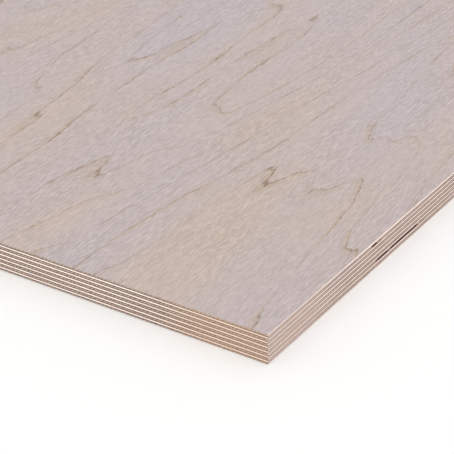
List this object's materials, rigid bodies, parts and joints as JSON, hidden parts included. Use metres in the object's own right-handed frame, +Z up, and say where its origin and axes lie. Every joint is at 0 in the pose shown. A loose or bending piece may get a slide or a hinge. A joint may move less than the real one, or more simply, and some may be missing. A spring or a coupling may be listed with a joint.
{
  "type": "plywood sheet",
  "caption": "Flat rectangular sheet of pale birch plywood; its cross-laid veneers show as stripes on the sawn edges. Raw panel stock for floors, walls, formwork and furniture.",
  "frame": {"origin": "middle of the underside, the face the sheet lies on", "axes": "+X along the long edges and the grain of both faces, +Y across the sheet, +Z up through the veneers to the face side"},
  "size_m": [2.44, 1.22, 0.018],
  "materials": {
    "outer_veneer": "sanded, unfinished rotary-cut birch",
    "long_veneer": "sawn, unfinished birch, grain along the sheet",
    "cross_veneer": "sawn, unfinished birch, grain across the sheet"
  },
  "bodies": {
    "root": {"back_veneer": "outer_veneer", "cross_ply_02": "cross_veneer", "long_ply_03": "long_veneer", "cross_ply_04": "cross_veneer", "long_ply_05": "long_veneer", "cross_ply_06": "cross_veneer", "long_ply_07": "long_veneer", "cross_ply_08": "cross_veneer", "long_ply_09": "long_veneer", "cross_ply_10": "cross_veneer", "long_ply_11": "long_veneer", "cross_ply_12": "cross_veneer", "face_veneer": "outer_veneer"}
  },
  "joints": []
}
